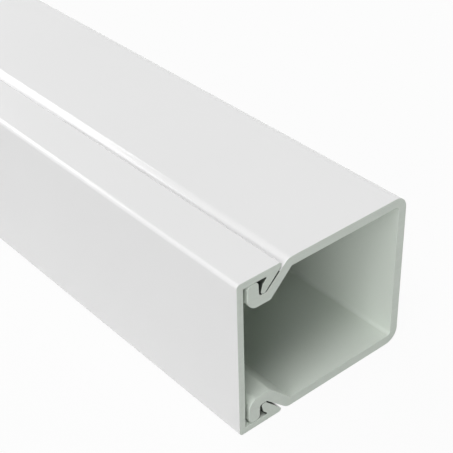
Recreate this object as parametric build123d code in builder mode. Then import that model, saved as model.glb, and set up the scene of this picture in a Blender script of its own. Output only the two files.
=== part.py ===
"""Two-piece cable trunking: a U-shaped base and a cover that snaps into hooks along its two sides.

The bar lies on one side along X, with the cover facing -Y and the wall face facing +Y.
All sizes are in millimetres.
"""

import os

from build123d import *

# Overall size of the closed bar
length = 1000.0
height = 25.0
depth = 30.0

# Wall thicknesses
cover_wall = 1.0
base_wall = 1.4
hook_wall = 1.85
hook_floor = 1.57
shoulder_wall = 1.6

# Lip of the cover: a slanting blade with a blunt toe
lip_drop = 3.3
lip_angle = 45.0
knee_drop = 0.85
toe_width = 0.8
toe_angle = 75.0

# Clearances of the snap fit, and the two angles by which its slots open towards their mouths
snap_gap = 0.2
end_gap = 0.06
hook_setback = 0.75
seam_opening = 2.0
slot_opening = 18.0

# Edge and corner radii
cover_edge_radius = 0.6
cover_inside_radius = 0.15
lip_edge_radius = 0.4
lip_root_radius = 0.1
toe_radius = 0.35
hook_front_radius = 0.7
hook_back_radius = 0.6
hook_heel_radius = 1.6
hook_knee_radius = 0.7
bend_radius = 1.8
back_corner_radius = 2.1
back_inside_radius = 0.6


def crossing(start, angle, other_start, other_angle):
    """Point where two lines of the section cross, each given by a point and its slope in degrees."""
    line = Axis(start, Vector(1, 0).rotate(Axis.Z, angle))
    other_line = Axis(other_start, Vector(1, 0).rotate(Axis.Z, other_angle))
    return line.intersect(other_line)


# The section is drawn with its first axis running back from the cover's face
# and its second axis running up from the middle of the height.
section_plane = Plane(origin=(0, -depth / 2, height / 2), x_dir=(0, 1, 0), z_dir=(1, 0, 0))
side_face = height / 2
cover_inside = side_face - cover_wall
toe_level = side_face - lip_drop

# Depths from the cover's face: the hook stands behind the cover, and the toe behind the hook.
hook_front = cover_wall + hook_setback
hook_back = hook_front + hook_wall
toe_front = hook_back + snap_gap
toe_back = toe_front + toe_width

# Corners of the lip
lip_edge = crossing((toe_back, toe_level), lip_angle, (0, side_face), 0)
lip_knee = crossing((toe_front, toe_level), toe_angle, (0, cover_inside - knee_drop), 0)
lip_root = crossing(lip_knee, lip_angle, (0, cover_inside), 0)

# Corners of the hook and of the shoulder that carries it
hook_tip = cover_inside - end_gap
valley = toe_level - end_gap
hook_under = valley - hook_floor
hook_angle = toe_angle + slot_opening
away_from_lip = Vector(1, 0).rotate(Axis.Z, lip_angle - 90)
shoulder_outside = Vector(toe_back, toe_level) + away_from_lip * snap_gap
shoulder_inside = shoulder_outside + away_from_lip * shoulder_wall
shoulder_angle = lip_angle - seam_opening
base_inside = side_face - base_wall
bend = crossing(shoulder_outside, shoulder_angle, (0, side_face), 0)
valley_back = crossing(shoulder_outside, shoulder_angle, (0, valley), 0)
valley_front = crossing((hook_back, toe_level), hook_angle, (0, valley), 0)
hook_tip_back = crossing((hook_back, toe_level), hook_angle, (0, hook_tip), 0)
hook_knee = crossing(shoulder_inside, lip_angle, (0, hook_under), 0)
bend_inside = crossing(shoulder_inside, lip_angle, (0, base_inside), 0)

# Base: a U with hooked sides, extruded in one piece
with BuildPart() as base:
    with BuildSketch(section_plane):
        with BuildLine():
            FilletPolyline(
                (depth, 0),
                (depth, side_face),
                bend,
                valley_back,
                valley_front,
                hook_tip_back,
                (hook_front, hook_tip),
                (hook_front, hook_under),
                hook_knee,
                bend_inside,
                (depth - base_wall, base_inside),
                (depth - base_wall, 0),
                radius=[
                    back_corner_radius,
                    bend_radius,
                    toe_radius,
                    toe_radius + end_gap,
                    hook_back_radius,
                    hook_front_radius,
                    hook_heel_radius,
                    hook_knee_radius,
                    0,
                    back_inside_radius,
                ],
            )
            mirror(about=Plane.XZ)
        make_face()
    extrude(amount=length / 2, both=True)

# Cover: a flat front with two short sides that end in lips
with BuildPart() as cover:
    with BuildSketch(section_plane):
        with BuildLine():
            FilletPolyline(
                (0, 0),
                (0, side_face),
                lip_edge,
                (toe_back, toe_level),
                (toe_front, toe_level),
                lip_knee,
                lip_root,
                (cover_wall, cover_inside),
                (cover_wall, 0),
                radius=[
                    cover_edge_radius,
                    lip_edge_radius,
                    toe_radius,
                    toe_radius,
                    0,
                    lip_root_radius,
                    cover_inside_radius,
                ],
            )
            mirror(about=Plane.XZ)
        make_face()
    extrude(amount=length / 2, both=True)

base.part.label = "trunking_base"
cover.part.label = "snap_cover"
os.makedirs("parts", exist_ok=True)
export_step(base.part, "parts/trunking_base.step")
export_step(cover.part, "parts/snap_cover.step")
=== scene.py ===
import math

import bpy
import numpy as np
from mathutils import Matrix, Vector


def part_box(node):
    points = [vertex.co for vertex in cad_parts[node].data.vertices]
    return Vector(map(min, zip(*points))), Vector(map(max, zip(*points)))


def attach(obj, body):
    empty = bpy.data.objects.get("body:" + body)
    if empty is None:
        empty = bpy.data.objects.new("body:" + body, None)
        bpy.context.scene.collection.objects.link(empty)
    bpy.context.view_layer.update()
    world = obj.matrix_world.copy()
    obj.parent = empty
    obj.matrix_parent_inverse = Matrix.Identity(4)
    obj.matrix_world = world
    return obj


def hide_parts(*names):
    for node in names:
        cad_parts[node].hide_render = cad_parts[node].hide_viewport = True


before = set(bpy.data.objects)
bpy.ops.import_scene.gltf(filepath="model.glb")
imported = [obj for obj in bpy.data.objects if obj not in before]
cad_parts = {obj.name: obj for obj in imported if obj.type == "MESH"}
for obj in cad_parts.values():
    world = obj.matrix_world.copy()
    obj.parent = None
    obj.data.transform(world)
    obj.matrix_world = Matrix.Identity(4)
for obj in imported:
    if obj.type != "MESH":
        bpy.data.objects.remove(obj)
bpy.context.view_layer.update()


# Trunking base: the U-shaped half that goes on the wall, with a hook along each of its two sides.
# It is extruded in one piece from rigid white PVC, through a die and a cooled sizing sleeve.
# A saw cuts it square to length.
MM = 0.001
base_low, base_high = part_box("trunking_base")
face_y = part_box("snap_cover")[0].y
middle_z = (base_low.z + base_high.z) / 2

# Sizes are in millimetres. The section runs back from the cover's face, and up and down from the
# middle of the height.
length = (base_high.x - base_low.x) / MM
depth = (base_high.y - face_y) / MM
side_face = (base_high.z - base_low.z) / 2 / MM

# Walls
cover_wall = 1.0
base_wall = 1.4
hook_wall = 1.85
hook_floor = 1.57
shoulder_wall = 1.6

# The cover's slanting lip and its toe, which the hook and the shoulder are shaped around
lip_drop = 3.3
lip_angle = 45.0
toe_width = 0.8
toe_angle = 75.0

# Clearances of the lock, the angles by which its slots open, and how far down the seam its walls
# stay white before the painted shade of the slots begins
snap_gap = 0.2
end_gap = 0.06
hook_setback = 0.75
seam_opening = 2.0
slot_opening = 18.0
seam_mouth = 1.3

# Radii
back_corner_radius = 2.1
back_inside_radius = 0.6
bend_radius = 1.8
bend_inside_radius = 0.3
toe_radius = 0.35
hook_back_radius = 0.6
hook_front_radius = 0.7
hook_heel_radius = 1.6
hook_knee_radius = 0.7

# Depths and levels that follow from these
cover_inside = side_face - cover_wall
base_inside = side_face - base_wall
toe_level = side_face - lip_drop
hook_front = cover_wall + hook_setback
hook_back = hook_front + hook_wall
toe_front = hook_back + snap_gap
toe_back = toe_front + toe_width
hook_tip = cover_inside - end_gap
valley = toe_level - end_gap
hook_under = valley - hook_floor


def heading(angle):
    """Unit step at an angle in degrees from straight back: its cosine back and its sine up."""
    return np.array([math.cos(math.radians(angle)), math.sin(math.radians(angle))])


def crossing(start, angle, other_start, other_angle):
    """Point where two lines of the section meet.

    It is the first line's start plus the step along it that brings it onto the second line.
    """
    ways = np.column_stack([heading(angle), -heading(other_angle)])
    step = np.linalg.solve(ways, np.subtract(other_start, start))
    return tuple(start + heading(angle) * step[0])


shoulder_outside = (toe_back, toe_level) + heading(lip_angle - 90) * snap_gap
shoulder_inside = shoulder_outside + heading(lip_angle - 90) * shoulder_wall
shoulder_angle = lip_angle - seam_opening
hook_angle = toe_angle + slot_opening

# Each row is a corner of the upper half, its radius, and the finish of the wall that follows it.
# The rows run from the wall face, over the side and the hook, to the inside of the back wall.
# SLOT walls are drawn dark grey: painted shade in the narrow slots of the lock.
SKIN, CORE, SLOT, CUT = range(4)
base_corners = [
    ((depth, 0), 0, SKIN),
    ((depth, side_face), back_corner_radius, SKIN),
    (crossing(shoulder_outside, shoulder_angle, (0, side_face), 0), bend_radius, SKIN),
    (crossing(shoulder_outside, shoulder_angle, (0, side_face - seam_mouth), 0), 0, SLOT),
    (crossing(shoulder_outside, shoulder_angle, (0, valley), 0), toe_radius, SLOT),
    (crossing((hook_back, toe_level), hook_angle, (0, valley), 0), toe_radius + end_gap, SLOT),
    (crossing((hook_back, toe_level), hook_angle, (0, hook_tip), 0), hook_back_radius, CORE),
    ((hook_front, hook_tip), hook_front_radius, CORE),
    ((hook_front, hook_under), hook_heel_radius, CORE),
    (crossing(shoulder_inside, lip_angle, (0, hook_under), 0), hook_knee_radius, CORE),
    (crossing(shoulder_inside, lip_angle, (0, base_inside), 0), bend_inside_radius, CORE),
    ((depth - base_wall, base_inside), back_inside_radius, CORE),
    ((depth - base_wall, 0), 0, CORE),
]


def extruded_section(corners, arc_steps=12):
    """Closed outline of a section, from the corners of its upper half.

    Gives the points, the outward direction at each of them, and the finish of the wall after it.
    Each corner becomes an arc that touches both of its sides. The arc starts r tan(turn / 2)
    before the corner, and a share s along it the line has turned by s times the turn, about a
    centre that lies r from both sides. A corner with no radius stays one point.
    The lower half is the upper one mirrored about the middle of the height and run backwards.
    """
    points = np.array([corner for corner, radius, finish in corners], float)
    radius = np.array([radius for corner, radius, finish in corners[1:-1]])[:, None, None]
    finish = np.array([finish for corner, radius, finish in corners])
    sides = np.diff(points, axis=0)
    angles = np.arctan2(sides[:, 1], sides[:, 0])
    turn = (np.diff(angles) + math.pi) % (2 * math.pi) - math.pi
    ways = np.stack([np.cos(angles[:-1]), np.sin(angles[:-1])], axis=1)
    starts = points[1:-1] - ways * radius[:, 0] * np.tan(np.abs(turn) / 2)[:, None]
    share = np.linspace(0, 1, arc_steps)
    along = angles[:-1, None] + turn[:, None] * share
    left = np.stack([-np.sin(along), np.cos(along)], axis=2)
    bend_way = np.sign(turn)[:, None, None]
    arcs = starts[:, None] + radius * bend_way * (left[:, :1] - left)
    upper = np.concatenate([points[:1], arcs.reshape(-1, 2), points[-1:]])
    outward = np.concatenate([-left[:1, 0], -left.reshape(-1, 2), -left[-1:, -1]])
    wall = np.repeat(finish, [1] + [arc_steps] * len(turn) + [1])
    apart = np.r_[True, np.any(np.diff(upper, axis=0) != 0, axis=1)]
    upper, outward, wall = upper[apart], outward[apart], wall[apart][:-1]
    flip = np.array([1, -1])
    return (
        np.concatenate([upper, upper[-2:0:-1] * flip]),
        np.concatenate([outward, outward[-2:0:-1] * flip]),
        np.concatenate([wall, wall[::-1]]),
    )


def sawn_bar(name, outline, outward, finish, saw_break=0.012, edge_rings=4, ring_gap=20.0):
    """A closed section carried along X for the whole length, with flat sawn ends.

    A point depends on its place along the section and on its ring along the bar. Towards each
    end the rings follow a quarter circle, which just breaks the sawn edge. At angle a, a ring is
    drawn in by saw_break (1 - cos a) and stands saw_break (1 - sin a) short of the end, and its
    outward direction leans by a towards the end. Between the ends the section stays as it is.
    """
    quarter = np.linspace(0, math.pi / 2, edge_rings)
    near = length / 2 - saw_break * (1 - np.sin(quarter))
    between = np.linspace(-near[0], near[0], 2 + round(2 * near[0] / ring_gap))[1:-1]
    lean = np.concatenate([-quarter[::-1], between * 0, quarter])
    along = np.concatenate([-near[::-1], between, near])
    section = outline - outward * (saw_break * (1 - np.cos(lean)))[:, None, None]
    back, up = section[..., 0] * MM + face_y, section[..., 1] * MM + middle_z
    points = np.stack([along[:, None] * MM + 0 * back, back, up], axis=2)
    normals = np.concatenate(
        [
            np.broadcast_to(np.sin(lean)[:, None, None], (*back.shape, 1)),
            outward * np.cos(lean)[:, None, None],
        ],
        axis=2,
    )
    index = np.arange(back.size).reshape(back.shape)
    after = np.roll(index, -1, axis=1)
    walls = np.stack([index[:-1], after[:-1], after[1:], index[1:]], axis=2).reshape(-1, 4)
    ends = [index[0, ::-1].tolist(), index[-1].tolist()]
    mesh = bpy.data.meshes.new(name)
    mesh.from_pydata(points.reshape(-1, 3), [], walls.tolist() + ends)
    mesh.polygons.foreach_set("use_smooth", np.ones(len(mesh.polygons), bool))
    wall_finish = np.tile(finish, (len(along) - 1, 1))
    wall_finish[np.r_[:edge_rings - 1, 1 - edge_rings:0]] = CUT
    mesh.polygons.foreach_set("material_index", np.r_[wall_finish.ravel(), CUT, CUT])
    mesh.normals_split_custom_set_from_vertices(normals.reshape(-1, 3))
    piece = bpy.data.objects.new(name, mesh)
    bpy.context.scene.collection.objects.link(piece)
    return piece


def linear(hex_colour):
    """Linear RGBA of an sRGB hex colour.

    A dark value v becomes v / 12.92, and any other one ((v + 0.055) / 1.055) ** 2.4.
    """
    parts = [int(hex_colour[i:i + 2], 16) / 255 for i in (1, 3, 5)]
    return (*(v / 12.92 if v <= 0.04045 else ((v + 0.055) / 1.055) ** 2.4 for v in parts), 1)


def add_node(tree, kind, inputs=(), **settings):
    """Adds a node with its settings, and gives each named input a value, or a link to a socket."""
    node = tree.nodes.new("ShaderNode" + kind)
    for key, value in settings.items():
        setattr(node, key, value)
    for key, value in dict(inputs).items():
        if isinstance(value, bpy.types.NodeSocket):
            tree.links.new(value, node.inputs[key])
        else:
            node.inputs[key].default_value = value
    return node


pvc_ior = 1.53


def extruded_pvc(name, darker, lighter, smoothest, roughest):
    """Rigid PVC as it leaves the die: an even surface with a sheen and faint lines along it."""
    material = bpy.data.materials.new(name)
    material.use_nodes = True
    tree = material.node_tree
    tree.nodes.clear()
    place = add_node(tree, "TexCoord").outputs["Object"]
    # Real die lines are finer than 0.1 mm. They are drawn 0.5 mm apart so that they can show, and
    # run unbroken for about 150 mm.
    line_gap = 0.5 * MM
    line_run = 150 * MM
    line_height = 0.02 * MM
    drawn = add_node(
        tree, "Mapping", {"Vector": place, "Scale": (1 / line_run, 1 / line_gap, 1 / line_gap)}
    )
    lines = add_node(
        tree, "TexNoise", {"Vector": drawn.outputs[0], "Scale": 1, "Detail": 2, "Roughness": 0.6}
    )
    # The melt cools a little unevenly, which leaves broad waves some 30 mm long in its tone.
    wave_length = 30 * MM
    waves = add_node(
        tree, "TexNoise", {"Vector": place, "Scale": 1 / wave_length, "Detail": 3, "Roughness": 0.5}
    )
    tone = add_node(
        tree,
        "Mix",
        {"Factor": waves.outputs["Fac"], "A": linear(darker), "B": linear(lighter)},
        data_type="RGBA",
    )
    # Noise keeps mostly between 0.3 and 0.7, and that is spread over the whole range of gloss.
    gloss = add_node(
        tree,
        "MapRange",
        {
            "Value": lines.outputs["Fac"],
            "From Min": 0.3,
            "From Max": 0.7,
            "To Min": smoothest,
            "To Max": roughest,
        },
    )
    grain = add_node(
        tree, "Bump", {"Height": lines.outputs["Fac"], "Strength": 0.012, "Distance": line_height}
    )
    surface = add_node(
        tree,
        "BsdfPrincipled",
        {
            "Base Color": tone.outputs[2],
            "Roughness": gloss.outputs[0],
            "Normal": grain.outputs[0],
            "IOR": pvc_ior,
        },
    )
    add_node(tree, "OutputMaterial", {"Surface": surface.outputs[0]})
    return material


def sawn_pvc(name, darker, lighter, roughness):
    """Rigid PVC where the saw went through: matt, with the blade's marks across it."""
    material = bpy.data.materials.new(name)
    material.use_nodes = True
    tree = material.node_tree
    tree.nodes.clear()
    place = add_node(tree, "TexCoord").outputs["Object"]
    # Real saw marks are under 0.1 mm apart. They are drawn 0.35 mm apart so that they can show, in
    # strokes some 6 mm long that slant as the bar was fed through the blade.
    mark_gap = 0.35 * MM
    mark_run = 6 * MM
    mark_height = 0.03 * MM
    feed_angle = math.radians(28)
    fed = add_node(
        tree,
        "Mapping",
        {"Vector": place, "Rotation": (feed_angle, 0, 0), "Scale": (1, 1 / mark_run, 1 / mark_gap)},
    )
    marks = add_node(
        tree, "TexNoise", {"Vector": fed.outputs[0], "Scale": 1, "Detail": 2, "Roughness": 0.6}
    )
    tone = add_node(
        tree,
        "Mix",
        {"Factor": marks.outputs["Fac"], "A": linear(darker), "B": linear(lighter)},
        data_type="RGBA",
    )
    grain = add_node(
        tree, "Bump", {"Height": marks.outputs["Fac"], "Strength": 0.15, "Distance": mark_height}
    )
    face = add_node(
        tree,
        "BsdfPrincipled",
        {
            "Base Color": tone.outputs[2],
            "Roughness": roughness,
            "Normal": grain.outputs[0],
            "IOR": pvc_ior,
        },
    )
    add_node(tree, "OutputMaterial", {"Surface": face.outputs[0]})
    return material


# The skin ran along the sizing sleeve, which polished it: clean white, with bright lines on the
# rounded edges. The core was only cooled by air, so it has a duller sheen. The core and the sawn
# core are tinted a little greener and greyer than the skin as painted shade: the green-grey of the
# shade inside the channel and on the sawn end.
# The slots are a fifth of a millimetre wide. Their walls are drawn dark grey as painted shade, and
# they read as fine black lines on the sawn end. The sawn core is matt, with no shine.
finishes = [
    extruded_pvc("white_pvc_skin", "#DEDEDE", "#E2E2E2", smoothest=0.13, roughest=0.15),
    extruded_pvc("pvc_core_painted_shade_tint", "#D8DFD7", "#DCE3DB", smoothest=0.30, roughest=0.32),
    extruded_pvc("slot_painted_shade_pvc", "#3E433E", "#4A4F4A", smoothest=0.60, roughest=0.70),
    sawn_pvc("sawn_pvc_core", "#D2DAD1", "#DCE4DB", roughness=0.55),
]
base = sawn_bar("base_extrusion", *extruded_section(base_corners))
for finish in finishes:
    base.data.materials.append(finish)
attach(base, "root")
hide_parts("trunking_base")


# Snap cover: the flat front that hides the cords, with two short sides that end in slanting lips.
# It is a second extrusion of the same PVC, sawn to the same length as the base.
# The lips spring over the hooks, and their toes hold the cover in place.
knee_drop = 0.85
cover_edge_radius = 0.6
cover_inside_radius = 0.15
lip_edge_radius = 0.4
lip_root_radius = 0.15
lip_knee_radius = 0.2
lip_edge = crossing((toe_back, toe_level), lip_angle, (0, side_face), 0)
lip_knee = crossing((toe_front, toe_level), toe_angle, (0, cover_inside - knee_drop), 0)
lip_root = crossing(lip_knee, lip_angle, (0, cover_inside), 0)

# The rows run from the inside of the front, round the lip, to the cover's face.
cover_corners = [
    ((cover_wall, 0), 0, CORE),
    ((cover_wall, cover_inside), cover_inside_radius, CORE),
    (lip_root, lip_root_radius, SLOT),
    (lip_knee, lip_knee_radius, SLOT),
    ((toe_front, toe_level), toe_radius, SLOT),
    ((toe_back, toe_level), toe_radius, SLOT),
    (crossing((toe_back, toe_level), lip_angle, (0, side_face - seam_mouth), 0), 0, SKIN),
    (lip_edge, lip_edge_radius, SKIN),
    ((0, side_face), cover_edge_radius, SKIN),
    ((0, 0), 0, SKIN),
]
cover = sawn_bar("cover_extrusion", *extruded_section(cover_corners))
for finish in finishes:
    cover.data.materials.append(finish)
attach(cover, "root")
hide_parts("snap_cover")


# Floor: a studio table covered with matt white card, which the bar lies on.
# To the camera it is nearly plain white, with a faint shadow of the bar.
table_half = 30.0
table_corners = np.array([[-1, -1, 0], [1, -1, 0], [1, 1, 0], [-1, 1, 0]]) * table_half
table_mesh = bpy.data.meshes.new("table_top")
table_mesh.from_pydata(table_corners, [], [(0, 1, 2, 3)])
table = bpy.data.objects.new("table_top", table_mesh)
bpy.context.scene.collection.objects.link(table)


def seen(tree):
    """1 for rays from the camera and for mirrored or refracted ones, 0 for light that bounces."""
    path = add_node(tree, "LightPath").outputs
    mirrored = add_node(
        tree,
        "Math",
        {0: path["Is Glossy Ray"], 1: path["Is Transmission Ray"]},
        operation="MAXIMUM",
    )
    either = add_node(
        tree, "Math", {0: path["Is Camera Ray"], 1: mirrored.outputs[0]}, operation="MAXIMUM"
    )
    return either.outputs[0]


# White card: matt, and lit so evenly that only a small share of its shading is seen.
plain_share = 0.94
white_card = bpy.data.materials.new("white_card")
white_card.use_nodes = True
tree = white_card.node_tree
tree.nodes.clear()
card = add_node(tree, "BsdfDiffuse", {"Color": linear("#C8C8C8")})
plain = add_node(tree, "Emission", {"Color": linear("#FFFFFF"), "Strength": 1.0})
share = add_node(tree, "Math", {0: seen(tree), 1: plain_share}, operation="MULTIPLY")
paper = add_node(tree, "MixShader", {0: share.outputs[0], 1: card.outputs[0], 2: plain.outputs[0]})
add_node(tree, "OutputMaterial", {"Surface": paper.outputs[0]})
table_mesh.materials.append(white_card)


# Studio: a white room around the table, which gives almost no light of its own.
# The camera and the gloss of the plastic see it as plain white.
room_light = 0.01
room = bpy.data.worlds.new("white_room")
bpy.context.scene.world = room
room.use_nodes = True
tree = room.node_tree
tree.nodes.clear()
dim = add_node(tree, "Background", {"Color": linear("#F6F8F6"), "Strength": room_light})
bright = add_node(tree, "Background", {"Color": linear("#FFFFFF"), "Strength": 1.0})
walls = add_node(tree, "MixShader", {0: seen(tree), 1: dim.outputs[0], 2: bright.outputs[0]})
add_node(tree, "OutputWorld", {"Surface": walls.outputs[0]})


# Lamps: four softboxes around the near end of the bar, in front of the cover, overhead, at the far
# end and low on the wall side. Only the one at the far end shows in the gloss of the plastic: the
# rounded edges mirror it as bright lines.
near_end = np.array([base_high.x, (base_high.y + face_y) / 2, base_high.z])
lamp_distance = 2.5


def softbox(name, direction, width, height, power, mirrored=False):
    """A flat lamp of soft light that stands off from the near end along a direction and faces it.

    Its width runs level, its face looks back along the direction, and its sizes are in metres.
    """
    lamp = bpy.data.lights.new(name, "AREA")
    lamp.shape = "RECTANGLE"
    lamp.size = width
    lamp.size_y = height
    lamp.energy = power
    away = np.array(direction) / np.linalg.norm(direction)
    side = np.cross([0, 0, 1], away)
    side /= np.linalg.norm(side)
    stand = np.eye(4)
    stand[:3, :3] = np.column_stack([side, np.cross(away, side), away])
    stand[:3, 3] = near_end + away * lamp_distance
    holder = bpy.data.objects.new(name, lamp)
    holder.matrix_world = Matrix(stand.tolist())
    holder.visible_camera = False
    holder.visible_glossy = mirrored
    bpy.context.scene.collection.objects.link(holder)


softbox("front_softbox", (0.42, -0.86, 0.30), width=1.6, height=1.6, power=34)
softbox("top_softbox", (0.1, -0.25, 0.96), width=1.6, height=1.6, power=46.7)
softbox("far_softbox", (-0.85, -0.04, 0.525), width=2.2, height=1.02, power=24.5, mirrored=True)
softbox("back_softbox", (0.0, 0.99, 0.12), width=1.6, height=0.5, power=26)


# Camera: a close-up of the near end from in front and above, 15 cm away, through a long lens.
# Its place and angles are the photo's, fitted to the straight edges of the bar.
picture = bpy.data.cameras.new("camera")
picture.sensor_width = 36.0
picture.lens = 91.63
picture.clip_start = 0.01
eye = np.array([83.57, -85.04, 109.42]) * MM + [base_high.x, 0, 0]
right = np.array([0.64750, 0.76171, -0.02313])
down = np.array([0.42222, -0.38386, -0.82120])
stand = np.eye(4)
stand[:3, :3] = np.column_stack([right, -down, np.cross(right, -down)])
stand[:3, 3] = eye
camera = bpy.data.objects.new("camera", picture)
camera.matrix_world = Matrix(stand.tolist())
bpy.context.scene.collection.objects.link(camera)
bpy.context.scene.camera = camera
bpy.context.scene.view_settings.view_transform = "Standard"
